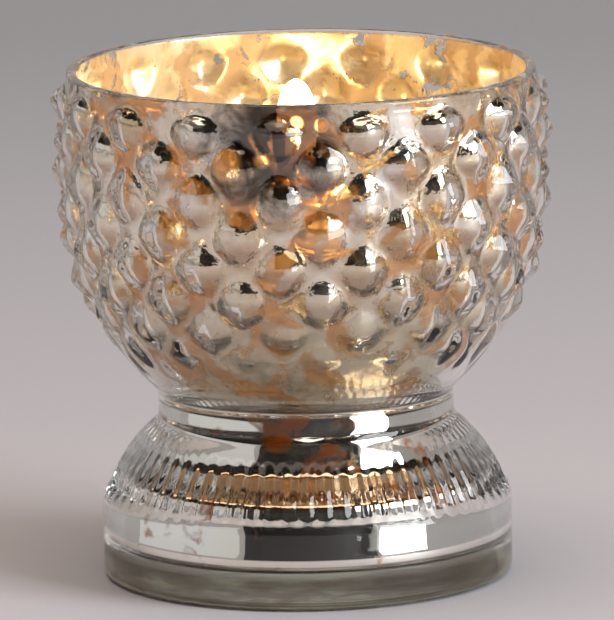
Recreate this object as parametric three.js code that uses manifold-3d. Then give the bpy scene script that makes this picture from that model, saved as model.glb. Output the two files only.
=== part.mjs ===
// A hobnail glass tealight holder: a mould-blown bowl on a short neck and a hollow bell foot,
// with a standard tealight candle seated in the taper above the neck.
// Millimetres, +Z up, origin at the centre of the foot's underside, front towards -Y.

import * as THREE from 'three';
import { mergeVertices } from 'three/addons/utils/BufferGeometryUtils.js';
import Module from 'manifold-3d';

// ---- Glass holder ----
const holderHeight = 70;
const rimSetback = 0.2;         // the rim is this much narrower than the bowl
const rimRounding = 0.9;
const bowlRadius = 32.2;        // outside of the bowl between the hobnails, at its widest
const bowlWall = 2.6;
const bowlSwellHeight = 58;     // the bowl's side runs straight up above this

const neckRadius = 20.2;
const neckBoreRadius = 16.5;
const neckBottomHeight = 22;
const neckLength = 3.8;

const footRadius = 28;
const footWall = 2.6;
const footBandHeight = 10.2;    // top of the upright band, where the shoulder starts
const shoulderRise = 2.2;
const footCornerRounding = 1.4;
const footFloor = 4.7;          // thickness of the glass under the foot's hollow
const footFloorRounding = 2.2;
const coneBulge = 0.6;          // how far the cone stands out from a straight line

// ---- Hobnails: pointed domes in staggered rows ----
const hobsPerRow = 17;
const hobHeight = 2.2;
const hobRowPitch = 4.75;       // along the bowl's side
const plainRimBand = 1.9;       // smooth glass between the top row and the rim
const hobTurnDegrees = 15.3;    // from the front to a hobnail of the top row, towards +X

// ---- Tealight candle ----
const cupRadius = 19;           // over the rolled edge
const cupHeight = 16;
const cupSheet = 0.4;
const cupCornerRounding = 1.2;
const cupRollRadius = 0.5;      // the rolled edge round the cup's mouth
const waxBelowEdge = 2.5;
const wickRadius = 0.8;
const wickAboveWax = 7;
const sustainerRadius = 6.5;    // the metal tab that holds the wick upright
const sustainerSheet = 0.35;
const sustainerTubeHeight = 3;

// ---- Fits ----
const partGap = 0.3;            // kept between neighbouring pieces
const seatClearance = 0.5;      // kept sideways between the cup's corner and the bowl's taper

// ---- Facets ----
const columnsPerHob = 4;
const stepsPerHobRow = 2;
const boreSegments = 34;
const cupSegments = 36;
const wickSegments = 10;

const neckTopHeight = neckBottomHeight + neckLength;
const rimRadius = bowlRadius - rimSetback;
const point = (radius, height) => new THREE.Vector2(radius, height);

// ---------------------------------------------------------------- profiles

// The bowl's side as it leaves the neck and swells out, inside or outside.
function bowlSide(startRadius, endRadius) {
  const swell = endRadius - startRadius;
  const rise = bowlSwellHeight - neckTopHeight;
  return new THREE.CubicBezierCurve(
    point(startRadius, neckTopHeight),
    point(startRadius + 0.36 * swell, neckTopHeight + 0.115 * rise),
    point(endRadius, neckTopHeight + 0.38 * rise),
    point(endRadius, bowlSwellHeight));
}

function rounded(from, corner, to, steps = 3) {
  return new THREE.QuadraticBezierCurve(from, corner, to).getPoints(steps);
}

function footSide() {
  const shoulderTop = point(footRadius - 0.4 * shoulderRise, footBandHeight + shoulderRise);
  const coneTop = point(neckRadius, neckBottomHeight);
  const coneMiddle = shoulderTop.clone().lerp(coneTop, 0.5);
  coneMiddle.add(point(2 * coneBulge, coneBulge));
  return [
    ...rounded(
      point(footRadius - footCornerRounding, 0),
      point(footRadius, 0),
      point(footRadius, footCornerRounding)),
    ...rounded(
      point(footRadius, footBandHeight),
      point(footRadius, footBandHeight + 0.6 * shoulderRise),
      shoulderTop),
    ...rounded(shoulderTop, coneMiddle, coneTop, 4).slice(1),
  ];
}

// Points down the bowl's outside at half a row of hobnails apart, from the top row's upper
// edge to the last whole row above the neck.
function hobZone() {
  const side = bowlSide(neckRadius, bowlRadius);
  const curveLength = side.getLength();
  const zoneLength = curveLength + holderHeight - plainRimBand - bowlSwellHeight;
  const steps = stepsPerHobRow * Math.floor(zoneLength / hobRowPitch);
  const points = [];
  for (let step = 0; step <= steps; step += 1) {
    const along = zoneLength - step * hobRowPitch / stepsPerHobRow;
    points.push(along > curveLength
      ? point(bowlRadius, bowlSwellHeight + along - curveLength)
      : side.getPointAt(along / curveLength));
  }
  return points;
}

function boreProfile() {
  const footBore = footRadius - footWall;
  const bowlBore = bowlRadius - bowlWall;
  const aboveRim = holderHeight + 5;
  return [
    point(0, footFloor),
    ...rounded(
      point(footBore - footFloorRounding, footFloor),
      point(footBore, footFloor),
      point(footBore, footFloor + footFloorRounding)),
    point(footBore, footBandHeight - 0.5 * footWall),
    point(neckBoreRadius, neckBottomHeight - 0.5 * footWall),
    ...bowlSide(neckBoreRadius, bowlBore).getPoints(10),
    point(bowlBore, aboveRim),
    point(0, aboveRim),
  ];
}

// ---------------------------------------------------------------- solids

// Turns a profile about +Z. The first column of points faces the front, turned by startAngle.
function turned(profile, segments, startAngle = 0) {
  const lathe = new THREE.LatheGeometry(profile, segments, startAngle);
  lathe.rotateX(Math.PI / 2);
  return lathe;
}

function welded(geometry) {
  geometry.deleteAttribute('normal');
  geometry.deleteAttribute('uv');
  return mergeVertices(geometry, 1e-4);
}

const manifold = await Module();
manifold.setup();

function toSolid(geometry) {
  const merged = welded(geometry);
  return new manifold.Manifold(new manifold.Mesh({
    numProp: 3,
    vertProperties: new Float32Array(merged.getAttribute('position').array),
    triVerts: new Uint32Array(merged.getIndex().array),
  }));
}

function fromSolid(solid) {
  const mesh = solid.getMesh();
  const geometry = new THREE.BufferGeometry();
  geometry.setAttribute('position', new THREE.BufferAttribute(mesh.vertProperties, 3));
  geometry.setIndex(new THREE.BufferAttribute(mesh.triVerts, 1));
  return geometry;
}

// ---------------------------------------------------------------- glass holder

// 1 at a hobnail's tip, falling to 0 along the edges of its diamond.
function hobRise(columnsFromTip, rowsFromTip) {
  const edge = 2 * Math.abs(columnsFromTip) + Math.abs(rowsFromTip);
  return edge < 1 ? (1 - edge) ** 0.8 : 0;
}

// How far the surface stands up, for a place counted in columns and steps of the lathe.
function hobPattern(column, step) {
  const row = (step - stepsPerHobRow / 2) / stepsPerHobRow;
  let rise = 0;
  for (const tipRow of [Math.floor(row), Math.ceil(row)]) {
    if (tipRow < 0) continue;
    const columns = column / columnsPerHob - (tipRow % 2) / 2;
    rise = Math.max(rise, hobRise(columns - Math.round(columns), row - tipRow));
  }
  return rise;
}

// Splits each four-sided facet along the edges and level lines of the hobnails' diamonds.
function splitByRise(geometry, rise) {
  const index = geometry.getIndex();
  const score = (i, j) => Math.abs(rise[i] - rise[j]) + 0.1 * (rise[i] + rise[j]);
  for (let i = 0; i < index.count; i += 6) {
    const [a, b, d, c] = [0, 1, 2, 3].map((offset) => index.getX(i + offset));
    if (score(a, c) < score(b, d)) [a, b, c, a, c, d].forEach((corner, k) => index.setX(i + k, corner));
  }
}

function glassHolder() {
  const foot = footSide();
  const zone = hobZone();
  const profile = [
    point(0, 0),
    ...foot,
    point(neckRadius, neckTopHeight),
    ...zone.toReversed(),
    ...rounded(
      point(rimRadius, holderHeight - rimRounding),
      point(rimRadius, holderHeight),
      point(rimRadius - rimRounding, holderHeight)),
    point(0, holderHeight),
  ];
  const zoneEnd = foot.length + 1 + zone.length;
  const segments = hobsPerRow * columnsPerHob;
  const outside = turned(profile, segments, THREE.MathUtils.degToRad(hobTurnDegrees));
  const position = outside.getAttribute('position');
  const rise = [];
  for (let i = 0; i < position.count; i += 1) {
    const column = Math.floor(i / profile.length);
    const step = zoneEnd - i % profile.length;
    const inZone = step > 0 && step < zone.length - 1;
    rise.push(inZone ? hobPattern(column, step) : 0);
    const radius = Math.hypot(position.getX(i), position.getY(i));
    const swell = inZone ? 1 + hobHeight * rise[i] / radius : 1;
    position.setXY(i, position.getX(i) * swell, position.getY(i) * swell);
  }
  splitByRise(outside, rise);
  const bore = turned(boreProfile(), boreSegments);
  return fromSolid(toSolid(outside).subtract(toSolid(bore)));
}

// ---------------------------------------------------------------- tealight candle

const cupSideRadius = cupRadius - cupRollRadius;

function cupCorner() {
  return rounded(
    point(cupSideRadius - cupCornerRounding, 0),
    point(cupSideRadius, 0),
    point(cupSideRadius, cupCornerRounding));
}

// Height of the bowl's bore where it has a given radius.
function boreHeightAt(radius) {
  const side = bowlSide(neckBoreRadius, bowlRadius - bowlWall);
  let low = 0;
  let high = 1;
  for (let i = 0; i < 30; i += 1) {
    const middle = (low + high) / 2;
    if (side.getPoint(middle).x < radius) low = middle;
    else high = middle;
  }
  return side.getPoint(high).y;
}

// The cup slides down the taper until its rounded corner meets the glass.
function cupSeatHeight() {
  const stops = cupCorner().map((corner) => boreHeightAt(corner.x + seatClearance) - corner.y);
  return Math.max(...stops);
}

const cupBottom = cupSeatHeight();
const waxBottom = cupBottom + cupSheet + partGap;
const waxTop = cupBottom + cupHeight - waxBelowEdge;
const sustainerTubeRadius = wickRadius + partGap + sustainerSheet;

function tealightCup() {
  const rollHeight = cupHeight - cupRollRadius;
  const insideRadius = cupSideRadius - cupSheet;
  const roll = [];
  for (let i = 0; i <= 4; i += 1) {
    const turn = Math.PI * (i / 4 - 0.5);
    const radius = cupSideRadius + cupRollRadius * Math.cos(turn);
    roll.push(point(radius, rollHeight + cupRollRadius * Math.sin(turn)));
  }
  const cup = turned([
    point(0, 0),
    ...cupCorner(),
    ...roll,
    point(insideRadius, cupHeight),
    point(insideRadius, cupSheet),
    point(0, cupSheet),
  ], cupSegments);
  return welded(cup.translate(0, 0, cupBottom));
}

function tealightWax() {
  const waxRadius = cupSideRadius - cupSheet - partGap;
  const pocketTop = waxBottom + sustainerSheet + 2 * partGap;
  const tubeTop = waxBottom + partGap + sustainerTubeHeight + partGap;
  const wickBore = wickRadius + partGap;
  const tubeBore = sustainerTubeRadius + partGap;
  const pocketRadius = sustainerRadius + partGap;
  return welded(turned([
    point(pocketRadius, waxBottom),
    point(waxRadius, waxBottom),
    point(waxRadius, waxTop),
    point(wickBore, waxTop),
    point(wickBore, tubeTop),
    point(tubeBore, tubeTop),
    point(tubeBore, pocketTop),
    point(pocketRadius, pocketTop),
    point(pocketRadius, waxBottom),
  ], cupSegments));
}

function wickSustainer() {
  const boreRadius = wickRadius + partGap;
  const tubeTop = waxBottom + sustainerTubeHeight;
  return welded(turned([
    point(boreRadius, waxBottom),
    point(sustainerRadius, waxBottom),
    point(sustainerRadius, waxBottom + sustainerSheet),
    point(sustainerTubeRadius, waxBottom + sustainerSheet),
    point(sustainerTubeRadius, tubeTop),
    point(boreRadius, tubeTop),
    point(boreRadius, waxBottom),
  ], cupSegments));
}

function wick() {
  const wickTop = waxTop + wickAboveWax;
  return welded(turned([
    point(0, waxBottom),
    point(wickRadius, waxBottom),
    point(wickRadius, wickTop - wickRadius),
    point(0.7 * wickRadius, wickTop - 0.3 * wickRadius),
    point(0, wickTop),
  ], wickSegments));
}

// ---------------------------------------------------------------- assembly

function piece(name, geometry, color, roughness, metalness) {
  const material = new THREE.MeshStandardMaterial({ color, roughness, metalness });
  const mesh = new THREE.Mesh(geometry, material);
  mesh.name = name;
  return mesh;
}

const tealight = new THREE.Group();
tealight.add(
  piece('tealight_cup', tealightCup(), '#c9cbcd', 0.3, 1),
  piece('tealight_wax', tealightWax(), '#f4efe2', 0.5, 0),
  piece('wick_sustainer', wickSustainer(), '#a9abad', 0.4, 1),
  piece('wick', wick(), '#d8d0bd', 0.95, 0));

const holder = new THREE.Group();
holder.add(
  piece('glass_holder', glassHolder(), '#b9b2a6', 0.08, 0.6),
  tealight);

export default holder;
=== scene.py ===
# %% [markdown]
# # A hobnail mercury-glass tealight holder
#
# The real holder is one piece of clear glass blown into a mould: a bowl covered with hobnails,
# a short neck and a hollow bell foot with a thick clear bottom. Its inside is silvered and then
# sealed with a warm lacquer, and the silver is left mottled, so that a candle glows through it.
# A standard tealight sits in the taper above the neck. Everything is in metres, +Z up, with the
# origin under the middle of the foot, as the CAD frame has it.

# %% Load the fixed frame
import math

import bmesh
import bpy
import numpy as np
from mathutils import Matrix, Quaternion, Vector


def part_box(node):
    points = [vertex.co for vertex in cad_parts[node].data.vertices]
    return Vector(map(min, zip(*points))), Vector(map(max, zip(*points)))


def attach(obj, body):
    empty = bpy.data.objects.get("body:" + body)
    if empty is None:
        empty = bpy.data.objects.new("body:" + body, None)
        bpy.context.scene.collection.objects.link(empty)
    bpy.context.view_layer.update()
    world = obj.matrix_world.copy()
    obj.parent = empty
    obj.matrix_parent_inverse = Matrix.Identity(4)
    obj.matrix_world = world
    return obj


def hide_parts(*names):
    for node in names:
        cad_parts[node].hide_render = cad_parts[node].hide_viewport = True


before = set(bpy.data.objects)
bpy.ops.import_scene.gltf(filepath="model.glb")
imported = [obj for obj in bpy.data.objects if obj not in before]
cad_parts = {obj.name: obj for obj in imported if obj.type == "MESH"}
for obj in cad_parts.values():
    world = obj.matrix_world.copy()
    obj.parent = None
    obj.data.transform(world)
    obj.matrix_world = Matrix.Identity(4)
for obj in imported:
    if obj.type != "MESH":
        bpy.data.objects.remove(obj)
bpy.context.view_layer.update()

MM = 0.001

# %% [markdown]
# ## Small helpers
#
# A colour is written as the sRGB hex value that a colour chart would give, and one function turns
# it into the linear light that shaders use. Another adds a shader node with its settings and links,
# so that each material below reads as a list of what feeds what. A mask is a grey from 0 to 1 that
# says how much of one finish covers another.

# %% Colours and shader nodes
def linear(hex_text):
    """The linear colour of an sRGB hex value such as #c8b496."""
    channels = [int(hex_text[i:i + 2], 16) / 255 for i in (1, 3, 5)]
    return tuple(c / 12.92 if c <= 0.04045 else ((c + 0.055) / 1.055) ** 2.4 for c in channels) + (1,)


def mask(share):
    """The grey that stands for a mask's value, 0 to 1."""
    return share, share, share, 1


def add(tree, kind, links=None, inputs=None, stops=None, **settings):
    """Adds a node. links maps an input to the socket that feeds it, inputs maps an input to its
    value, and stops are the (position, colour) pairs of a colour ramp."""
    node = tree.nodes.new(kind)
    for name, value in settings.items():
        setattr(node, name, value)
    for name, value in (inputs or {}).items():
        node.inputs[name].default_value = value
    for name, socket in (links or {}).items():
        tree.links.new(socket, node.inputs[name])
    if stops:
        elements = node.color_ramp.elements
        while len(elements) < len(stops):
            elements.new(0.5)
        for element, (position, colour) in zip(elements, stops):
            element.position, element.color = position, colour
    return node


print("mid grey #808080 is", round(linear("#808080")[0], 3), "in linear light")

# %% Starting and finishing a material
WHITE = mask(1)
BLACK = mask(0)


def new_material(name):
    """An empty node material, and the Object coordinates that its patterns read."""
    material = bpy.data.materials.new(name)
    material.use_nodes = True
    material.node_tree.nodes.clear()
    place = add(material.node_tree, "ShaderNodeTexCoord").outputs["Object"]
    return material, material.node_tree, place


def finish_material(material, shader):
    """Connects the last shader to the material's surface."""
    add(material.node_tree, "ShaderNodeOutputMaterial", {"Surface": shader})
    print(material.name, len(material.node_tree.nodes), "nodes")
    return material


def per_mm(size_mm):
    """The scale that makes a noise texture repeat about every size_mm."""
    return 1 / (size_mm * MM)


print("a 5 mm pattern has scale", per_mm(5))

# %% [markdown]
# ## Making turned pieces
#
# Nearly everything here is round: a mould for glass is turned, a foil cup is pressed by a round
# punch, and wax takes the shape of its cup. So each piece starts as an outline of radius and height
# in millimetres, which bmesh spins about +Z. A row of points on a curve is worked out from the
# curve's few control points.

# %% Curves and spins
def bezier(controls, steps):
    """Points on a Bezier curve with three or four control points, both ends included."""
    points = []
    for i in range(steps + 1):
        level = [Vector(c) for c in controls]
        while len(level) > 1:
            level = [a.lerp(b, i / steps) for a, b in zip(level, level[1:])]
        points.append(tuple(level[0]))
    return points


def straight(start, end, steps):
    """Evenly spaced points on a straight line, without its start."""
    return bezier([start, end], steps)[1:]


def spin(outline, columns):
    """A bmesh made by turning an outline of (radius, height) in mm about +Z."""
    bm = bmesh.new()
    corners = [bm.verts.new((0, -radius * MM, height * MM)) for radius, height in outline]
    edges = [bm.edges.new(pair) for pair in zip(corners, corners[1:])]
    bmesh.ops.spin(bm, geom=corners + edges, cent=(0, 0, 0), axis=(0, 0, 1), dvec=(0, 0, 0),
                   angle=math.tau, steps=columns, use_merge=True, use_duplicate=False)
    bmesh.ops.remove_doubles(bm, verts=bm.verts, dist=1e-7)
    bmesh.ops.recalc_face_normals(bm, faces=bm.faces)
    return bm


print("a quarter round in", len(bezier([(1, 0), (1, 1), (0, 1)], 5)), "points")

# %% Naming a finished piece
def finish_piece(bm, name, body, materials, replaces=()):
    """Turns a bmesh into a named object that rides on a body."""
    mesh = bpy.data.meshes.new(name)
    bm.to_mesh(mesh)
    bm.free()
    mesh.shade_smooth()
    for material in materials:
        mesh.materials.append(material)
    piece = bpy.data.objects.new(name, mesh)
    bpy.context.scene.collection.objects.link(piece)
    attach(piece, body)
    if replaces:
        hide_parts(*replaces)
    print(name, len(mesh.polygons), "faces")


# %% [markdown]
# ## The glass: its sizes and outline
#
# These are the holder's own sizes in millimetres. The overall height comes from the frame and the
# bowl's radius is the frame's without its hobnails, so the glass fits the CAD model's box. The wall
# is drawn thin, as it looks at the rim. The outline runs from the middle of the underside up the
# outside to the rim, and from there down the hollow to the middle of its floor.

# %% Sizes of the glass
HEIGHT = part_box("glass_holder")[1][2] / MM
BOWL_RADIUS, RIM_RADIUS, WALL = 32.2, 32.0, 1.5
SWELL_HEIGHT = 58.0         # the bowl's side runs straight up from here
PLAIN_BAND = 1.9            # the smooth strip between the top hobnails and the rim
LIP, LIP_DROP = 0.65, 0.6   # the rounding of the rim, across and down
NECK_RADIUS, BORE_RADIUS = 20.2, 16.5
NECK_START, NECK_TOP = 22.8, 25.8
FOOT_RADIUS, BAND_TOP = 28.0, 10.4
TOE = 1.4                   # the rounding at the table
SHOULDER = (FOOT_RADIUS - 0.8, BAND_TOP + 1.9)
CONE_TOP = (20.8, 21.3)
FLOOR = 4.7                 # the thick clear bottom
inner_radius = BOWL_RADIUS - WALL
zone_top = HEIGHT - PLAIN_BAND
print("glass", round(HEIGHT, 2), "mm high, hobnails up to", round(zone_top, 2), "mm")

# %% Sizes of the hobnails
HOBS_PER_ROW, ROW_PITCH = 17, 4.75
HOB_HEIGHT = 2.2
DIMPLE_DEPTH, DIMPLE_BREADTH = 1.8, 0.9
HOB_SPREAD = 0.34           # half a hobnail's width, as a share of the pitch along its row
HOB_RADIUS = 4.15           # half its height up the bowl's side
HOB_TURN = math.radians(15.3)
DIAMOND_SHARE, DISC_SHARE = 0.45, 0.55      # its outline is between a diamond and a disc
TIP_ROUNDING, FLANK_CURVE = 0.1, 1.15
FADE_START, FADE_END = 5, 21                # up the side, the hobnails grow from nothing to full
RIM_FADE = 1.2
COLUMNS = HOBS_PER_ROW * 24
print("hobnails", round(math.tau * BOWL_RADIUS / HOBS_PER_ROW, 1), "mm apart, mesh", COLUMNS, "columns")


# %% The outline of the outside
def bowl_curve(start_radius, end_radius):
    """The bowl's side from the neck to where it runs straight up."""
    swell, rise = end_radius - start_radius, SWELL_HEIGHT - NECK_TOP
    return [(start_radius, NECK_TOP), (start_radius + 0.36 * swell, NECK_TOP + 0.115 * rise),
            (end_radius, NECK_TOP + 0.38 * rise), (end_radius, SWELL_HEIGHT)]


outer_bowl = bezier(bowl_curve(NECK_RADIUS, BOWL_RADIUS), 66)
outer_bowl += straight((BOWL_RADIUS, SWELL_HEIGHT), (BOWL_RADIUS, zone_top), 18)
rim_side, rim_top = (RIM_RADIUS, HEIGHT - LIP_DROP), (RIM_RADIUS - LIP, HEIGHT)

outside = [(0, 0), (20, 0), (FOOT_RADIUS - TOE, 0)]
outside += bezier([(FOOT_RADIUS - TOE, 0), (FOOT_RADIUS, 0), (FOOT_RADIUS, TOE)], 5)[1:]
outside += straight((FOOT_RADIUS, TOE), (FOOT_RADIUS, BAND_TOP), 3)
outside += bezier([(FOOT_RADIUS, BAND_TOP), (FOOT_RADIUS, BAND_TOP + 0.7), SHOULDER], 6)[1:]
outside += bezier([SHOULDER, (24.9, 17.9), CONE_TOP], 16)[1:]
outside += bezier([CONE_TOP, (NECK_RADIUS, 21.9), (NECK_RADIUS, NECK_START)], 5)[1:]
outside += straight((NECK_RADIUS, NECK_START), (NECK_RADIUS, NECK_TOP), 2)[:-1]
outside += outer_bowl
outside += bezier([(BOWL_RADIUS, zone_top), (RIM_RADIUS, HEIGHT - 2 * LIP_DROP), rim_side], 3)[1:]
outside += bezier([rim_side, (RIM_RADIUS, HEIGHT), rim_top], 5)[1:]
print("outside", len(outside), "points")

# %% The outline of the hollow
inner_bowl = bezier(bowl_curve(BORE_RADIUS, inner_radius), 48)
inner_bowl += straight((inner_radius, SWELL_HEIGHT), (inner_radius, zone_top), 15)

# Below the neck the hollow opens into the bell: a steep throat, a cone, a tight corner, and a wall
# that leans out a little as it goes down, which is what throws the dark room back from the band.
THROAT, CONE_START, CONE_END = (17.1, 22.2), (19.75, 16.5), (23.15, 13.6)
WALL_TOP, WALL_MIDDLE, WALL_END = (23.75, 12.4), (24.3, 10.6), (24.85, 7.5)
HOLLOW_RADIUS = 25.0
hollow = bezier([rim_top, (inner_radius, HEIGHT), (inner_radius, HEIGHT - LIP_DROP)], 5)
hollow += list(reversed(inner_bowl))
hollow += bezier([(BORE_RADIUS, NECK_TOP), (16.7, 24.4), THROAT], 6)[1:]
hollow += bezier([THROAT, (17.55, 21.0), CONE_START], 9)[1:]
hollow += straight(CONE_START, CONE_END, 6)
hollow += bezier([CONE_END, (23.6, 13.2), WALL_TOP], 3)[1:]
hollow += straight(WALL_TOP, WALL_MIDDLE, 2)
hollow += straight(WALL_MIDDLE, WALL_END, 3)
hollow += bezier([WALL_END, (HOLLOW_RADIUS, 6.8), (HOLLOW_RADIUS, 5.8)], 4)[1:]
hollow += bezier([(HOLLOW_RADIUS, 5.8), (25.05, FLOOR), (23.6, FLOOR)], 5)[1:]
hollow += [(0, FLOOR)]
print("hollow", len(hollow), "points")

# %% [markdown]
# ## Raising the hobnails
#
# In the real mould each hobnail is a small pointed dome, and the rows are staggered so that the
# domes pack like scales. The glass keeps about the same thickness under each, so the inside has a
# softer dimple behind every dome. Both come from one formula for how high the surface stands, and
# the points of the spun shell are moved along the outline's own outward direction. Cutting and
# joining well over a hundred separate domes would give hard seams that moulded glass doesn't have.

# %% The hobnail formula
zone_length = sum(math.dist(a, b) for a, b in zip(outer_bowl, outer_bowl[1:]))
hob_rows = int(zone_length / ROW_PITCH)
print("hobnail rows", hob_rows, "of", HOBS_PER_ROW, "along", round(zone_length, 1), "mm")


def smoothstep(low, high, x):
    """An even S-shaped rise from 0 at low to 1 at high."""
    t = min(max((x - low) / (high - low), 0), 1)
    return t * t * (3 - 2 * t)


def hob_rise(angle, along, breadth):
    """Height of the hobnails, 0 to 1, at an angle from the front and a distance up the side."""
    row = (zone_length - along) / ROW_PITCH - 0.5
    column = (angle - HOB_TURN) / math.tau * HOBS_PER_ROW
    highest = 0
    for tip_row in (math.floor(row), math.ceil(row)):
        if not 0 <= tip_row < hob_rows:
            continue
        across = column - tip_row % 2 / 2
        u = (across - round(across)) / HOB_SPREAD
        v = (row - tip_row) * ROW_PITCH / HOB_RADIUS
        diamond, disc = abs(u) + abs(v), math.hypot(u, v)
        edge = math.hypot(DIAMOND_SHARE * diamond + DISC_SHARE * disc, TIP_ROUNDING) / breadth
        if edge < 1:
            highest = max(highest, 1 - edge ** FLANK_CURVE)
    return highest


# %% Moving the points of the bowl
def side_table(side):
    """Height, distance up the outer side, and outward direction, for each point of a bowl side."""
    heights, alongs, outwards = [], [], []
    outer = np.array(outer_bowl)
    lengths = np.concatenate([[0], np.cumsum(np.hypot(*np.diff(outer, axis=0).T))])
    for i, here in enumerate(side):
        ahead, behind = side[min(i + 1, len(side) - 1)], side[max(i - 1, 0)]
        slope = Vector((ahead[0] - behind[0], ahead[1] - behind[1])).normalized()
        heights.append(here[1])
        alongs.append(lengths[np.argmin(np.hypot(*(outer - here).T))])
        outwards.append((slope.y, -slope.x))
    return np.array(heights), np.array(alongs), np.array(outwards)


def raise_hobs(bm, side, height, breadth, is_on_side):
    """Moves each point of one side of the bowl outwards by the hobnail formula."""
    heights, alongs, outwards = side_table(side)
    for vert in bm.verts:
        radius, z = math.hypot(vert.co.x, vert.co.y) / MM, vert.co.z / MM
        if not heights[0] < z < heights[-1] or not is_on_side(radius, z):
            continue
        angle = math.atan2(vert.co.x, -vert.co.y)
        along = np.interp(z, heights, alongs)
        rise = height * hob_rise(angle, along, breadth)
        rise *= smoothstep(FADE_START, FADE_END, along) * smoothstep(0, RIM_FADE, zone_length - along)
        out_r, out_z = (np.interp(z, heights, outwards[:, i]) for i in (0, 1))
        swell = 1 + rise * out_r / radius
        vert.co = Vector((vert.co.x * swell, vert.co.y * swell, vert.co.z + rise * out_z * MM))


# %% Telling the two sides of the wall apart
middle_side = [((a[0] + b[0]) / 2, a[1]) for a, b in zip(bezier(bowl_curve(NECK_RADIUS, BOWL_RADIUS), 40),
                                                         bezier(bowl_curve(BORE_RADIUS, inner_radius), 40))]
middle_heights = [z for _, z in middle_side]
middle_radii = [r for r, _ in middle_side]
print("middle of the wall from radius", round(middle_radii[0], 2), "to", round(middle_radii[-1], 2))


def outside_of_wall(radius, z):
    return radius > np.interp(z, middle_heights, middle_radii)


def inside_of_wall(radius, z):
    return not outside_of_wall(radius, z)


# %% [markdown]
# ## The flutes on the bell foot
#
# Fine ribs run down the cone and end in a scalloped line just above the shoulder. They are shallow,
# half a millimetre from crest to groove, so a cosine round the cone makes them, faded out at both
# ends. Cutting grooves with a boolean would leave sharp edges that pressed glass doesn't have.

# %% The flute formula
FLUTES = HOBS_PER_ROW * 4
HALF_FLUTE = 0.24           # half the depth from crest to groove
FLUTE_BOTTOM, FLUTE_TOP = 11.0, 20.0
SCALLOP, RUN_OUT_BELOW, RUN_OUT_ABOVE = 0.7, 2.0, 3
print(FLUTES, "flutes,", round(math.tau * 24 / FLUTES, 2), "mm apart half way up")


def outside_of_foot(radius, z):
    """True for points of the cone's outside, and not of the hollow behind it."""
    return radius > 20.0 + (21.5 - z) * 0.45


def cut_flutes(bm):
    """Ribs that run up the outside of the cone."""
    for vert in bm.verts:
        radius, z = math.hypot(vert.co.x, vert.co.y) / MM, vert.co.z / MM
        if not FLUTE_BOTTOM < z < FLUTE_TOP or not outside_of_foot(radius, z):
            continue
        wave = math.cos(math.atan2(vert.co.x, -vert.co.y) * FLUTES)
        fade = smoothstep(FLUTE_BOTTOM + SCALLOP * (0.5 + 0.5 * wave), FLUTE_BOTTOM + RUN_OUT_BELOW, z)
        fade *= 1 - smoothstep(FLUTE_TOP - RUN_OUT_ABOVE, FLUTE_TOP, z)
        swell = 1 + HALF_FLUTE * (wave - 1) * fade / radius
        vert.co = Vector((vert.co.x * swell, vert.co.y * swell, vert.co.z))


# %% [markdown]
# ## Clear glass
#
# The holder is soda-lime glass, the common glass of jars and tumblers, with an index of refraction
# of 1.5. In a thin wall it is clear. Where the foot is solid it shows its iron as a streaky olive
# brown, so a second colour takes over below the hollow's floor. That olive brown is also made darker
# than the glass alone would be, as painted shade for the shadowed table seen through the bottom.
# The skin took the mould's slight waviness, which a very low bump gives.

# %% The glass material
THICK_FROM, THICK_TO = 5.2 * MM, 4.2 * MM       # heights between which the olive tone comes in


def soda_lime_glass():
    """Mould-blown soda-lime glass: perfectly smooth and clear, a little wavy."""
    material, tree, place = new_material("mould_blown_soda_lime_glass")
    tone = add(tree, "ShaderNodeTexNoise", {"Vector": place}, {"Scale": per_mm(14), "Detail": 3.0})
    clear = add(tree, "ShaderNodeValToRGB", {"Fac": tone.outputs["Fac"]},
                stops=[(0.35, linear("#fbfaf4")), (0.65, linear("#fefefc"))])
    flattened = add(tree, "ShaderNodeVectorMath", {0: place}, {1: (1, 1, 5)}, operation="MULTIPLY")
    streaks = add(tree, "ShaderNodeTexNoise", {"Vector": flattened.outputs["Vector"]},
                  {"Scale": per_mm(9), "Detail": 4.0, "Roughness": 0.6})
    # The olive colours are partly the thick glass's own tone and partly painted shade: they are kept dark for
    # the shadowed table seen through the bottom.
    olive_and_painted_shade = add(tree, "ShaderNodeValToRGB", {"Fac": streaks.outputs["Fac"]},
                stops=[(0.38, linear("#625948")), (0.5, linear("#7f7565")), (0.6, linear("#a9aa92"))])
    height = add(tree, "ShaderNodeSeparateXYZ", {"Vector": place}).outputs["Z"]
    thick = add(tree, "ShaderNodeMapRange", {"Value": height}, {"From Min": THICK_FROM, "From Max": THICK_TO})
    tint = add(tree, "ShaderNodeMix",
               {0: thick.outputs["Result"], 6: clear.outputs["Color"],
                7: olive_and_painted_shade.outputs["Color"]}, data_type="RGBA")
    wavy = add(tree, "ShaderNodeTexNoise", {"Vector": place}, {"Scale": per_mm(5), "Detail": 2.0})
    bump = add(tree, "ShaderNodeBump", {"Height": wavy.outputs["Fac"]},
               {"Strength": 0.15, "Distance": 0.1 * MM})
    glass = add(tree, "ShaderNodeBsdfPrincipled",
                {"Base Color": tint.outputs[2], "Normal": bump.outputs["Normal"]},
                {"Transmission Weight": 1.0, "Roughness": 0.0, "IOR": 1.5})
    return finish_material(material, glass.outputs["BSDF"])


# %% Build the glass
glass_mesh = spin(outside + hollow[1:], COLUMNS)
raise_hobs(glass_mesh, outer_bowl, HOB_HEIGHT, 1.0, outside_of_wall)
raise_hobs(glass_mesh, inner_bowl, DIMPLE_DEPTH, DIMPLE_BREADTH, inside_of_wall)
cut_flutes(glass_mesh)
finish_piece(glass_mesh, "hobnail_glass", "holder", [soda_lime_glass()], ["glass_holder"])

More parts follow.
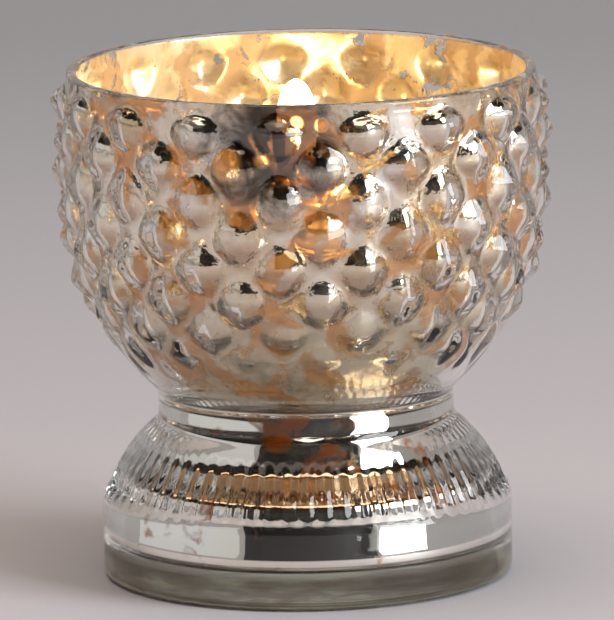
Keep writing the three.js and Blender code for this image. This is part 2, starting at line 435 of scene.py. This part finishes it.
# %% [markdown]
# ## The silver lining
#
# Mercury glass is silvered on the inside by pouring in a silver nitrate bath, then sealed with a
# lacquer. Seen through the glass it is a mirror; seen from inside it is a satin warm metal. The
# bath is disturbed on purpose, so it leaves clear flakes and thin places where only the amber
# varnish is left, and a candle flame browns it under the rim. The lining is made as its own thin
# closed skin just inside the glass, mirror on one side and lacquer on the other, and both sides
# share one pattern, so that light passes through the two together.

# %% Places on the lining
STAIN, STAIN_SIZE = (-4, -30, 64), 20       # browned by the flame, under the rim
# Round places, as x, y, z and radius, where the silver has come off and the varnish shows.
SPOTS = [(-10.1, -30, 62, 2.4), (-0.7, -30.6, 67.4, 1.1), (2.6, -30.5, 67.1, 1.1), (-5.5, -31, 62.4, 1.6),
         (-3.8, -17.4, 21.4, 2.6)]
FOOT_SILVER, BOWL_SILVER = 24 * MM, 30 * MM     # the silver is sound in the foot and mottled in the bowl
HOB_INNER, HOB_OUTER = 30.9 * MM, 31.8 * MM     # radii between the wall and the dimples' bottoms
LESS_IN_FOOT, LESS_ON_HOBS = -0.10, -0.05       # added to the noise, so that less silver is lost there
FLAKE, PATCH = 4.5, 6                           # the usual size of a flaked place and an amber patch
print("one stain and", len(SPOTS), "spots")


# %% Where the silver is missing, thin or stained
def lining_masks(tree, place):
    """Three masks: silver missing, silver so thin that the varnish shows, and browned silver."""
    blotch = add(tree, "ShaderNodeTexNoise", {"Vector": place},
                 {"Scale": per_mm(FLAKE), "Detail": 5.0, "Roughness": 0.6, "Distortion": 0.5}).outputs["Fac"]
    patch = add(tree, "ShaderNodeTexNoise", {"Vector": place},
                {"Scale": per_mm(PATCH), "Detail": 4.0, "Roughness": 0.55, "Distortion": 0.4}).outputs["Fac"]
    flat = add(tree, "ShaderNodeVectorMath", {0: place}, {1: (1, 1, 0)}, operation="MULTIPLY")
    radius = add(tree, "ShaderNodeVectorMath", {0: flat.outputs["Vector"]}, operation="LENGTH")
    on_hob = add(tree, "ShaderNodeMapRange", {"Value": radius.outputs["Value"]},
                 {"From Min": HOB_INNER, "From Max": HOB_OUTER, "To Min": 0.0, "To Max": LESS_ON_HOBS})
    height = add(tree, "ShaderNodeSeparateXYZ", {"Vector": place}).outputs["Z"]
    in_foot = add(tree, "ShaderNodeMapRange", {"Value": height},
                  {"From Min": FOOT_SILVER, "From Max": BOWL_SILVER, "To Min": LESS_IN_FOOT, "To Max": 0.0})
    valley = add(tree, "ShaderNodeMath", {0: patch, 1: on_hob.outputs["Result"]}, operation="ADD")
    patchy = add(tree, "ShaderNodeMath", {0: valley.outputs["Value"], 1: in_foot.outputs["Result"]},
                 operation="ADD")
    blotchy = add(tree, "ShaderNodeMath", {0: blotch, 1: in_foot.outputs["Result"]}, operation="ADD")
    missing = add(tree, "ShaderNodeValToRGB", {"Fac": blotchy.outputs["Value"]},
                  stops=[(0.58, BLACK), (0.63, WHITE)]).outputs["Color"]
    thin = add(tree, "ShaderNodeValToRGB", {"Fac": patchy.outputs["Value"]},
               stops=[(0.485, BLACK), (0.565, mask(0.85))]).outputs["Color"]
    from_stain = add(tree, "ShaderNodeVectorMath", {0: place}, {1: tuple(v * MM for v in STAIN)},
                     operation="DISTANCE")
    ragged = add(tree, "ShaderNodeMath", {0: blotch, 2: from_stain.outputs["Value"]}, {1: STAIN_SIZE * MM},
                 operation="MULTIPLY_ADD")
    stain = add(tree, "ShaderNodeMapRange", {"Value": ragged.outputs["Value"]},
                {"From Min": STAIN_SIZE * MM, "From Max": 0.75 * STAIN_SIZE * MM,
                 "To Max": 0.9}).outputs["Result"]
    for x, y, z, spot_radius in SPOTS:
        from_spot = add(tree, "ShaderNodeVectorMath", {0: place}, {1: (x * MM, y * MM, z * MM)},
                        operation="DISTANCE")
        spot = add(tree, "ShaderNodeMapRange", {"Value": from_spot.outputs["Value"]},
                   {"From Min": spot_radius * MM, "From Max": 0.6 * spot_radius * MM})
        thin = add(tree, "ShaderNodeMath", {0: thin, 1: spot.outputs["Result"]},
                   operation="MAXIMUM").outputs["Value"]
        stain = add(tree, "ShaderNodeMath", {0: stain, 1: spot.outputs["Result"]}, operation="SUBTRACT",
                    use_clamp=True).outputs["Value"]
    return missing, thin, stain


# %% One recipe for both sides of the lining
def lined(name, finish, varnish_hex):
    """A lining material: the metal that finish(tree, place) gives, under the shared masks. The
    varnish is deep orange below the neck and of its own colour above."""
    material, tree, place = new_material(name)
    missing, thin, stain = lining_masks(tree, place)
    metal = finish(tree, place)
    clear = add(tree, "ShaderNodeBsdfTransparent", inputs={"Color": WHITE})
    see_through = add(tree, "ShaderNodeBsdfTransparent", inputs={"Color": linear("#f4d8b0")})
    height = add(tree, "ShaderNodeSeparateXYZ", {"Vector": place}).outputs["Z"]
    up = add(tree, "ShaderNodeMapRange", {"Value": height}, {"From Max": 50 * MM})
    colour = add(tree, "ShaderNodeValToRGB", {"Fac": up.outputs["Result"]},
                 stops=[(0.48, linear("#ff8c2c")), (0.56, linear(varnish_hex))])
    varnish = add(tree, "ShaderNodeBsdfPrincipled", {"Base Color": colour.outputs["Color"]},
                  {"Roughness": 0.2, "Metallic": 0.2})
    amber = add(tree, "ShaderNodeMixShader", {1: see_through.outputs["BSDF"], 2: varnish.outputs["BSDF"]},
                {0: 0.4})
    thinned = add(tree, "ShaderNodeMixShader", {0: thin, 1: metal, 2: amber.outputs["Shader"]})
    gapped = add(tree, "ShaderNodeMixShader",
                 {0: missing, 1: thinned.outputs["Shader"], 2: clear.outputs["BSDF"]})
    brown = add(tree, "ShaderNodeBsdfTransparent", inputs={"Color": linear("#54473f")})
    stained = add(tree, "ShaderNodeMixShader",
                  {0: stain, 1: gapped.outputs["Shader"], 2: brown.outputs["BSDF"]})
    return finish_material(material, stained.outputs["Shader"])


# %% The mirror side
NECK_FADE = (24 * MM, 27 * MM)                  # heights between which the clean silver of the foot ends
RIPPLE_FADE = (25 * MM, 28 * MM)
DULL_TOP, DULL_BOTTOM = 52 * MM, 41 * MM        # the silver turns dull toward the bowl's bottom
CONE_LOW, CONE_HIGH = 12.4 * MM, 20 * MM


def silver_mirror(tree, place):
    """Silver behind glass: a clean bright mirror in the foot, golden on the low cone, tarnished to
    cream in the bowl, and tinted brown as painted shade where the hobnails' undersides face down."""
    tarnish = add(tree, "ShaderNodeTexNoise", {"Vector": place},
                  {"Scale": per_mm(9), "Detail": 6.0, "Roughness": 0.6}).outputs["Fac"]
    bright = add(tree, "ShaderNodeValToRGB", {"Fac": tarnish},
                 stops=[(0.38, linear("#f8f5f3")), (0.5, linear("#f0e4d4")), (0.64, linear("#dcc4a2"))])
    height = add(tree, "ShaderNodeSeparateXYZ", {"Vector": place}).outputs["Z"]
    ragged = add(tree, "ShaderNodeMath", {0: tarnish, 2: height}, {1: 14 * MM}, operation="MULTIPLY_ADD")
    above_neck = add(tree, "ShaderNodeMapRange", {"Value": height},
                     {"From Min": RIPPLE_FADE[0], "From Max": RIPPLE_FADE[1]}).outputs["Result"]
    low_bowl = add(tree, "ShaderNodeMapRange", {"Value": ragged.outputs["Value"]},
                   {"From Min": DULL_TOP, "From Max": DULL_BOTTOM}).outputs["Result"]
    dull = add(tree, "ShaderNodeMath", {0: above_neck, 1: low_bowl}, operation="MULTIPLY").outputs["Value"]
    in_foot = add(tree, "ShaderNodeMapRange", {"Value": height},
                  {"From Min": NECK_FADE[1], "From Max": NECK_FADE[0]}).outputs["Result"]
    up_the_cone = add(tree, "ShaderNodeMapRange", {"Value": height},
                      {"From Min": CONE_LOW, "From Max": CONE_HIGH}).outputs["Result"]
    low_cone = add(tree, "ShaderNodeValToRGB", {"Fac": up_the_cone},
                   stops=[(0.0, BLACK), (0.12, WHITE), (0.5, WHITE), (0.62, BLACK)]).outputs["Color"]
    # Painted shade: faces of the mirror that point down, as the hobnails' undersides do, take a darker brown.
    facing = add(tree, "ShaderNodeSeparateXYZ",
                 {"Vector": add(tree, "ShaderNodeNewGeometry").outputs["Normal"]})
    painted_underside_shade = add(tree, "ShaderNodeMapRange", {"Value": facing.outputs["Z"]},
                    {"From Min": -0.08, "From Max": -0.45, "To Max": 0.85}).outputs["Result"]
    colour = bright.outputs["Color"]
    for share, tint in ((painted_underside_shade, "#b4967e"), (in_foot, "#f1efee"), (low_cone, "#e2c2a0"),
                        (dull, "#e2d5bc")):
        colour = add(tree, "ShaderNodeMix", {0: share, 6: colour}, {7: linear(tint)},
                     data_type="RGBA").outputs[2]
    rough = add(tree, "ShaderNodeMapRange", {"Value": dull}, {"To Min": 0.04, "To Max": 0.32})
    metallic = add(tree, "ShaderNodeMapRange", {"Value": dull}, {"To Min": 1.0, "To Max": 0.45})
    ripples = add(tree, "ShaderNodeTexNoise", {"Vector": place}, {"Scale": per_mm(2.6), "Detail": 3.0})
    in_bowl = add(tree, "ShaderNodeMath", {0: ripples.outputs["Fac"], 1: above_neck}, operation="MULTIPLY")
    bump = add(tree, "ShaderNodeBump", {"Height": in_bowl.outputs["Value"]},
               {"Strength": 0.8, "Distance": 0.35 * MM})
    metal = add(tree, "ShaderNodeBsdfPrincipled",
                {"Base Color": colour, "Roughness": rough.outputs["Result"], "Normal": bump.outputs["Normal"],
                 "Metallic": metallic.outputs["Result"]})
    return metal.outputs["BSDF"]


# %% The lacquered side
def lacquered_silver(tree, place):
    """Silver under a brushed-on cream lacquer: satin and warm, a little cloudy."""
    cloud = add(tree, "ShaderNodeTexNoise", {"Vector": place},
                {"Scale": per_mm(4), "Detail": 5.0, "Roughness": 0.6}).outputs["Fac"]
    colour = add(tree, "ShaderNodeValToRGB", {"Fac": cloud},
                 stops=[(0.4, linear("#f8ecd2")), (0.6, linear("#e6d0a6"))])
    rough = add(tree, "ShaderNodeMapRange", {"Value": cloud}, {"To Min": 0.24, "To Max": 0.4})
    metal = add(tree, "ShaderNodeBsdfPrincipled",
                {"Base Color": colour.outputs["Color"],
                 "Roughness": rough.outputs["Result"]}, {"Metallic": 0.6})
    return metal.outputs["BSDF"]


# %% The lining's skin
LINING_GAP, LINING_THICK = 0.04, 0.06       # far thicker than real silver, so that it stays a solid skin
LINING_EDGE = 0.3                           # it stops this far below the rim


def inset_outline(outline, distance):
    """The outline moved inwards, towards the hollow, by a distance in mm."""
    moved = []
    for i, here in enumerate(outline):
        ahead, behind = outline[min(i + 1, len(outline) - 1)], outline[max(i - 1, 0)]
        along = Vector((ahead[0] - behind[0], ahead[1] - behind[1])).normalized()
        moved.append((max(here[0] + along.y * distance, 0), here[1] - along.x * distance))
    moved[-1] = (0, outline[-1][1] + distance)
    return moved


lining_line = [point for point in hollow if point[1] < HEIGHT - LINING_EDGE]
mirror_side = inset_outline(lining_line, LINING_GAP)
lacquer_side = inset_outline(lining_line, LINING_GAP + LINING_THICK)
lining_mesh = spin(list(reversed(mirror_side)) + lacquer_side, COLUMNS)
raise_hobs(lining_mesh, inner_bowl, DIMPLE_DEPTH, DIMPLE_BREADTH, lambda radius, z: True)
print("lining", len(mirror_side), "points on each side")


# %% Build the lining
def faces_the_glass(face):
    """True on the mirror side: it looks outwards, or down under the foot's hollow."""
    middle = face.calc_center_median()
    radial = Vector((middle.x, middle.y, -1 * MM)).normalized()
    return face.normal.dot(radial) > 0


lining_mesh.normal_update()
for face in lining_mesh.faces:
    face.material_index = 0 if faces_the_glass(face) else 1
finish_piece(lining_mesh, "silver_lining", "holder",
             [lined("silver_nitrate_mirror", silver_mirror, "#ffc67a"),
              lined("lacquered_silver", lacquered_silver, "#f3dcb0")])

# %% [markdown]
# ## The tealight's foil cup
#
# A tealight is a foil cup of wax with a braided cotton wick, which a small metal tab holds upright.
# The cup is pressed from thin aluminium sheet, so its side has faint upright wrinkles and its mouth
# is rolled over. It is spun to the place of its CAD node, and a cosine round the side dents it.

# %% The foil's material
def pressed_aluminium():
    """Pressed aluminium foil: pale grey and satin, with a fine rolled grain. The real grain is finer
    than a tenth of a millimetre, and is drawn as coarse as it needs to show."""
    material, tree, place = new_material("pressed_aluminium_foil")
    grain = add(tree, "ShaderNodeTexNoise", {"Vector": place},
                {"Scale": per_mm(0.8), "Detail": 4.0}).outputs["Fac"]
    colour = add(tree, "ShaderNodeValToRGB", {"Fac": grain},
                 stops=[(0.3, linear("#d6d7d9")), (0.7, linear("#e4e5e6"))])
    rough = add(tree, "ShaderNodeMapRange", {"Value": grain}, {"To Min": 0.24, "To Max": 0.32})
    bump = add(tree, "ShaderNodeBump", {"Height": grain}, {"Strength": 0.2, "Distance": 0.02 * MM})
    metal = add(tree, "ShaderNodeBsdfPrincipled",
                {"Base Color": colour.outputs["Color"], "Roughness": rough.outputs["Result"],
                 "Normal": bump.outputs["Normal"]}, {"Metallic": 1.0})
    return finish_material(material, metal.outputs["BSDF"])


# %% The cup's outline
cup_low, cup_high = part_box("tealight_cup")
CUP_RADIUS, CUP_BOTTOM, CUP_TOP = cup_high[0] / MM, cup_low[2] / MM, cup_high[2] / MM
ROLL = 0.5                  # radius of the rolled mouth
SIDE_RADIUS = CUP_RADIUS - ROLL
SHEET = 0.25
HEEL = 1.2                  # rounding at the bottom
BASE_GROOVE = 0.3           # a groove pressed round the underside

cup_outline = [(0, CUP_BOTTOM), (SIDE_RADIUS - 3.0, CUP_BOTTOM),
               (SIDE_RADIUS - 2.4, CUP_BOTTOM + BASE_GROOVE)]
cup_outline += bezier([(SIDE_RADIUS - HEEL, CUP_BOTTOM), (SIDE_RADIUS, CUP_BOTTOM),
                       (SIDE_RADIUS, CUP_BOTTOM + HEEL)], 5)
cup_outline += straight((SIDE_RADIUS, CUP_BOTTOM + HEEL), (SIDE_RADIUS, CUP_TOP - 1.1), 8)
cup_outline += [(SIDE_RADIUS + ROLL * math.cos(math.tau * i / 16),
                 CUP_TOP - ROLL + ROLL * math.sin(math.tau * i / 16))
                for i in range(-3, 6)]
cup_outline += straight((SIDE_RADIUS - SHEET, CUP_TOP - 0.9), (SIDE_RADIUS - SHEET, CUP_BOTTOM + HEEL), 8)
cup_outline += [(SIDE_RADIUS - 1.3, CUP_BOTTOM + SHEET), (0, CUP_BOTTOM + SHEET)]
print("cup", round(2 * CUP_RADIUS, 1), "mm across,", round(CUP_TOP - CUP_BOTTOM, 1), "mm high")

# %% Press the cup
WRINKLES, HALF_WRINKLE = 60, 0.06
cup_mesh = spin(cup_outline, 180)
for vert in cup_mesh.verts:
    radius, z = math.hypot(vert.co.x, vert.co.y) / MM, vert.co.z / MM
    if radius > SIDE_RADIUS - 0.6 and CUP_BOTTOM + 1.1 < z < CUP_TOP - 1.0:
        fade = smoothstep(CUP_BOTTOM + 1, CUP_BOTTOM + 4, z) * (1 - smoothstep(CUP_TOP - 4, CUP_TOP - 1, z))
        dent = HALF_WRINKLE * fade * (math.cos(WRINKLES * math.atan2(vert.co.y, vert.co.x)) - 1)
        vert.co.x *= 1 + dent / radius
        vert.co.y *= 1 + dent / radius
finish_piece(cup_mesh, "foil_cup", "tealight", [pressed_aluminium()], ["tealight_cup"])

# %% [markdown]
# ## The wax
#
# The wax has been burning, so its top is a shallow pool that climbs the cup's wall and the wick a
# little. It has room below for the tab that holds the wick. Paraffin is white, and light wanders
# about inside it before it comes out, which subsurface scattering gives.

# %% The wax material
def paraffin_wax():
    """Paraffin: creamy white and waxy, and glowing near the flame."""
    material, tree, place = new_material("paraffin_wax")
    cloud = add(tree, "ShaderNodeTexNoise", {"Vector": place}, {"Scale": per_mm(3), "Detail": 3.0})
    colour = add(tree, "ShaderNodeValToRGB", {"Fac": cloud.outputs["Fac"]},
                 stops=[(0.35, linear("#f3ead6")), (0.65, linear("#fbf6ea"))])
    wax = add(tree, "ShaderNodeBsdfPrincipled", {"Base Color": colour.outputs["Color"]},
              {"Roughness": 0.18, "IOR": 1.44, "Subsurface Weight": 0.6, "Subsurface Scale": 2 * MM,
               "Subsurface Radius": (1.0, 0.7, 0.4)})
    return finish_material(material, wax.outputs["BSDF"])


# %% Pour the wax
wax_low, wax_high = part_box("tealight_wax")
WAX_RADIUS, WAX_BOTTOM, WAX_TOP = wax_high[0] / MM, wax_low[2] / MM, wax_high[2] / MM
wick_low, wick_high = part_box("wick")
WICK_RADIUS, WICK_BOTTOM, WICK_TOP = wick_high[1] / MM, wick_low[2] / MM, wick_high[2] / MM
POOL_TOP = WAX_TOP - 1.0
POCKET = WICK_RADIUS + 0.15                     # the hole round the wick
TAB_ROOM, TAB_ROOM_TOP = 7.0, WAX_BOTTOM + 1.0  # the room for the tab, and for its tube
TUBE_ROOM, TUBE_ROOM_TOP = 1.9, WAX_BOTTOM + 3.6

wax_outline = [(TAB_ROOM, WAX_BOTTOM), (WAX_RADIUS - 0.8, WAX_BOTTOM), (WAX_RADIUS, WAX_BOTTOM + 0.8)]
wax_outline += straight((WAX_RADIUS, WAX_BOTTOM + 0.8), (WAX_RADIUS, WAX_TOP), 6)
wax_outline += bezier([(WAX_RADIUS, WAX_TOP), (WAX_RADIUS - 0.6, WAX_TOP - 0.9),
                       (WAX_RADIUS - 2.5, POOL_TOP)], 6)[1:]
wax_outline += straight((WAX_RADIUS - 2.5, POOL_TOP), (3.5, POOL_TOP), 5)
wax_outline += bezier([(3.5, POOL_TOP), (POCKET + 0.4, WAX_TOP - 0.9), (POCKET, WAX_TOP - 0.2)], 6)[1:]
wax_outline += [(POCKET, TUBE_ROOM_TOP), (TUBE_ROOM, TUBE_ROOM_TOP), (TUBE_ROOM, TAB_ROOM_TOP),
                (TAB_ROOM, TAB_ROOM_TOP), (TAB_ROOM, WAX_BOTTOM)]
finish_piece(spin(wax_outline, 120), "melted_wax", "tealight", [paraffin_wax()], ["tealight_wax"])

# %% [markdown]
# ## The wick
#
# The wick is a flat braid of cotton, drawn round here, and it curls over as it burns. It is spun as
# a rod, and its sides are pressed in along two sets of spirals that cross like strands in a braid.

# %% The wick's material
def burnt_cotton():
    """Cotton braid: pale where it is waxed, black where it has burned, and red-hot at the very tip."""
    material, tree, place = new_material("braided_cotton_wick")
    height = add(tree, "ShaderNodeSeparateXYZ", {"Vector": place}).outputs["Z"]
    share = add(tree, "ShaderNodeMapRange", {"Value": height},
                {"From Min": (WAX_TOP - 1) * MM, "From Max": WICK_TOP * MM}).outputs["Result"]
    colour = add(tree, "ShaderNodeValToRGB", {"Fac": share},
                 stops=[(0.0, linear("#cdbf9f")), (0.25, linear("#6a543c")), (0.45, linear("#17120e")),
                        (1.0, linear("#0c0a09"))])
    ember = add(tree, "ShaderNodeValToRGB", {"Fac": share}, stops=[(0.88, BLACK), (0.97, linear("#ff5a1e"))])
    fluff = add(tree, "ShaderNodeTexNoise", {"Vector": place}, {"Scale": per_mm(0.25), "Detail": 4.0})
    bump = add(tree, "ShaderNodeBump", {"Height": fluff.outputs["Fac"]},
               {"Strength": 0.6, "Distance": 0.1 * MM})
    cotton = add(tree, "ShaderNodeBsdfPrincipled",
                 {"Base Color": colour.outputs["Color"], "Emission Color": ember.outputs["Color"],
                  "Normal": bump.outputs["Normal"]}, {"Roughness": 0.9, "Emission Strength": 3.0})
    return finish_material(material, cotton.outputs["BSDF"])


# %% Braid the wick
BRAID_PITCH, BRAID_STRANDS, BRAID_DEPTH = 2.2, 3, 0.28
WICK_BEND = 1.3
wick_outline = [(0, WICK_BOTTOM), (WICK_RADIUS, WICK_BOTTOM)]
wick_outline += straight((WICK_RADIUS, WICK_BOTTOM), (WICK_RADIUS, WICK_TOP - 0.8), 60)
wick_outline += bezier([(WICK_RADIUS, WICK_TOP - 0.8), (WICK_RADIUS, WICK_TOP), (0, WICK_TOP)], 5)[1:]
wick_mesh = spin(wick_outline, 30)
for vert in wick_mesh.verts:
    angle, z = math.atan2(vert.co.y, vert.co.x), vert.co.z / MM
    turn = math.tau * z / BRAID_PITCH
    strand = max(abs(math.cos((BRAID_STRANDS * angle + turn) / 2)),
                 abs(math.cos((BRAID_STRANDS * angle - turn) / 2)))
    vert.co.x *= 1 - BRAID_DEPTH + BRAID_DEPTH * strand
    vert.co.y *= 1 - BRAID_DEPTH + BRAID_DEPTH * strand
    vert.co.x += WICK_BEND * MM * smoothstep(WAX_TOP, WICK_TOP + 2, z) ** 1.5
finish_piece(wick_mesh, "braided_wick", "tealight", [burnt_cotton()], ["wick"])

# %% [markdown]
# ## The wick's tab
#
# A stamped steel tab with a short tube stands under the wax and holds the wick. The CAD model's own
# shape is right for it, so it is kept and only gets its finish.

# %% Tinned steel
def tinned_sheet():
    """Tinned steel sheet: a soft grey metal with a faint spangle about a millimetre across."""
    material, tree, place = new_material("tinned_steel_sheet")
    spangle = add(tree, "ShaderNodeTexNoise", {"Vector": place},
                  {"Scale": per_mm(1.2), "Detail": 3.0}).outputs["Fac"]
    colour = add(tree, "ShaderNodeValToRGB", {"Fac": spangle},
                 stops=[(0.35, linear("#9c9ea0")), (0.65, linear("#c2c3c4"))])
    rough = add(tree, "ShaderNodeMapRange", {"Value": spangle}, {"To Min": 0.3, "To Max": 0.5})
    metal = add(tree, "ShaderNodeBsdfPrincipled",
                {"Base Color": colour.outputs["Color"],
                 "Roughness": rough.outputs["Result"]}, {"Metallic": 1.0})
    return finish_material(material, metal.outputs["BSDF"])


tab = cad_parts["wick_sustainer"]
tab.data.materials.clear()
tab.data.materials.append(tinned_sheet())

# %% [markdown]
# ## The flame
#
# A candle flame is glowing soot in a teardrop of hot gas. It is brightest in the middle and upper
# part, and faint and clear at the wick. A closed teardrop mesh that gives out light stands for it,
# and lights the inside of the bowl as the real one does.

# %% The flame's material
FLAME_BOTTOM, FLAME_TOP = WICK_TOP - 2.5, HEIGHT - 1.8


def glowing_soot():
    """Glowing soot in hot gas: a faint blue root that one sees through, and a yellow-white body."""
    material, tree, place = new_material("glowing_soot")
    height = add(tree, "ShaderNodeSeparateXYZ", {"Vector": place}).outputs["Z"]
    share = add(tree, "ShaderNodeMapRange", {"Value": height},
                {"From Min": FLAME_BOTTOM * MM, "From Max": FLAME_TOP * MM}).outputs["Result"]
    colour = add(tree, "ShaderNodeValToRGB", {"Fac": share},
                 stops=[(0.0, linear("#030a19")), (0.2, linear("#301f0d")), (0.45, linear("#7c5d35")),
                        (0.8, linear("#f3d39b")), (1.0, linear("#ffe1ad"))])
    glow = add(tree, "ShaderNodeEmission", {"Color": colour.outputs["Color"]}, {"Strength": 52.0})
    gas = add(tree, "ShaderNodeBsdfTransparent", inputs={"Color": WHITE})
    body = add(tree, "ShaderNodeValToRGB", {"Fac": share},
               stops=[(0.0, mask(0.15)), (0.45, mask(0.6)), (0.7, WHITE)])
    flame_body = add(tree, "ShaderNodeMixShader",
                     {0: body.outputs["Color"], 1: gas.outputs["BSDF"], 2: glow.outputs["Emission"]})
    return finish_material(material, flame_body.outputs["Shader"])


# %% Shape the flame
FLAME_RADIUS, FLAME_DRIFT = 3.2, -0.7
BELLY_LOW, BELLY_HIGH = FLAME_BOTTOM + 8, FLAME_TOP - 8
FLAME_NECK = (2.4, FLAME_TOP - 3.2)
flame_outline = bezier([(0, FLAME_BOTTOM), (FLAME_RADIUS, FLAME_BOTTOM), (FLAME_RADIUS, BELLY_LOW)], 14)
flame_outline += bezier([(FLAME_RADIUS, BELLY_LOW), (FLAME_RADIUS, BELLY_HIGH), FLAME_NECK], 12)[1:]
flame_outline += bezier([FLAME_NECK, (1.7, FLAME_TOP - 0.4), (0, FLAME_TOP)], 10)[1:]
flame_mesh = spin(flame_outline, 40)
bmesh.ops.translate(flame_mesh, verts=flame_mesh.verts, vec=(FLAME_DRIFT * MM, 0, 0))
finish_piece(flame_mesh, "flame", "tealight", [glowing_soot()])

# %% [markdown]
# ## Table and flag
#
# A mirror shows what stands around it, so this set is arranged the way one lights silverware. The
# holder stands on a pale table, which is painted brighter near the viewer and darker away from it as
# painted shade of the light falling off. A black cloth behind the viewer gives the silver its dark
# parts. Both are plain grids that belong to the stage and not to the piece.

# %% Stage panels
def stage_panel(name, width, height, place, turn, colour, far_colour, spread=(-0.5, 0.5)):
    """A painted panel of the stage, whose colour changes across a spread of its height. On the table
    the change is painted shade: brighter near the viewer and darker away from it.
    """
    bm = bmesh.new()
    bmesh.ops.create_grid(bm, x_segments=1, y_segments=1, size=0.5)
    bmesh.ops.scale(bm, vec=(width, height, 1), verts=bm.verts)
    mesh = bpy.data.meshes.new(name)
    bm.to_mesh(mesh)
    bm.free()
    panel = bpy.data.objects.new(name, mesh)
    panel.location, panel.rotation_euler = place, turn
    bpy.context.scene.collection.objects.link(panel)
    material, tree, where = new_material(name + "_finish")
    depth = add(tree, "ShaderNodeSeparateXYZ", {"Vector": where}).outputs["Y"]
    share = add(tree, "ShaderNodeMapRange", {"Value": depth},
                {"From Min": spread[0] * height, "From Max": spread[1] * height})
    shade = add(tree, "ShaderNodeValToRGB", {"Fac": share.outputs["Result"]},
                stops=[(0, colour), (1, far_colour)])
    paint = add(tree, "ShaderNodeBsdfPrincipled", {"Base Color": shade.outputs["Color"]}, {"Roughness": 0.6})
    mesh.materials.append(finish_material(material, paint.outputs["BSDF"]))


# The table is painted brighter in front and darker behind, as painted shade for the light falling off with
# distance.
stage_panel("table_top", 9, 9, (0, 0, -0.05 * MM), (0, 0, 0), linear("#dfdee8"), linear("#a6abb5"),
            (-0.01, 0.05))
stage_panel("black_flag", 4.7, 3.2, (0.15, -2.7, 1.7), (math.pi / 2, 0, 0), linear("#08080a"),
            linear("#0c0c0e"))

# %% [markdown]
# ## Lights
#
# A tall soft light on the right stands for a window, a wide dim one on the left fills the shadow
# side, and a warm one hangs overhead. The room is grey near the floor, black at mid height and
# peach above, which is what puts dark caps and warm edges on the hobnails.

# %% Lights and room
AIM_HEIGHT = 0.04


def softbox(name, width, height, place, power, colour):
    """A rectangular light that faces the holder."""
    light = bpy.data.lights.new(name, "AREA")
    light.shape, light.size, light.size_y = "RECTANGLE", width, height
    light.energy, light.color = power, colour
    lamp = bpy.data.objects.new(name, light)
    lamp.location = place
    lamp.rotation_mode = "QUATERNION"
    lamp.rotation_quaternion = (Vector((0, 0, AIM_HEIGHT)) - Vector(place)).to_track_quat("-Z", "Y")
    bpy.context.scene.collection.objects.link(lamp)
    print(name, power, "W")


softbox("window_right", 1.7, 1.6, (2.46, -1.38, 1.2), 78, (0.95, 0.98, 1.0))
softbox("reflector_left", 4.4, 1.0, (-2.75, -0.4, 0.75), 3.8, (0.96, 0.99, 1.0))
softbox("overhead", 3.2, 2.4, (-0.2, -0.2, 2.6), 38, (1.0, 0.9, 0.78))

world = bpy.data.worlds.new("room")
bpy.context.scene.world = world
world.use_nodes = True
room = world.node_tree
around = add(room, "ShaderNodeTexCoord").outputs["Generated"]
direction = add(room, "ShaderNodeSeparateXYZ", {"Vector": around})
walls = add(room, "ShaderNodeValToRGB", {"Fac": direction.outputs["Z"]}, stops=[
    (0.0, linear("#a3a0a0")), (0.34, linear("#a3a0a0")), (0.42, linear("#1e1c1c")), (0.8, linear("#1e1c1c")),
    (0.9, linear("#c09c7c")), (1.0, linear("#c09c7c"))])
room.links.new(walls.outputs["Color"], room.nodes["Background"].inputs["Color"])

# %% [markdown]
# ## Camera
#
# The camera looks slightly down from a metre and a half away with a long lens, and is rolled by
# less than a degree. Glass inside glass needs many bounces, or its edges fill with false black.

# %% Camera and light paths
DISTANCE, ELEVATION, ROLL_ANGLE = 1.5, math.radians(10.75), math.radians(0.88)
VIEW_HEIGHT, SENSOR = 84.7 * MM, 36
aim = Vector((0.33 * MM, 0, (HEIGHT / 2 + 1.17) * MM))
camera = bpy.data.objects.new("camera", bpy.data.cameras.new("camera"))
camera.data.sensor_width = SENSOR
camera.data.lens = SENSOR * DISTANCE / VIEW_HEIGHT
back = Vector((0, -math.cos(ELEVATION), math.sin(ELEVATION)))
camera.location = aim + back * DISTANCE
camera.rotation_mode = "QUATERNION"
camera.rotation_quaternion = (-back).to_track_quat("-Z", "Y")
camera.rotation_quaternion.rotate(Quaternion(back, -ROLL_ANGLE))
bpy.context.scene.collection.objects.link(camera)
bpy.context.scene.camera = camera
cycles = bpy.context.scene.cycles
cycles.caustics_reflective, cycles.caustics_refractive = False, True
cycles.max_bounces, cycles.glossy_bounces, cycles.transmission_bounces = 20, 12, 20
bpy.context.scene.view_settings.view_transform = "Standard"
print("lens", round(camera.data.lens), "mm")
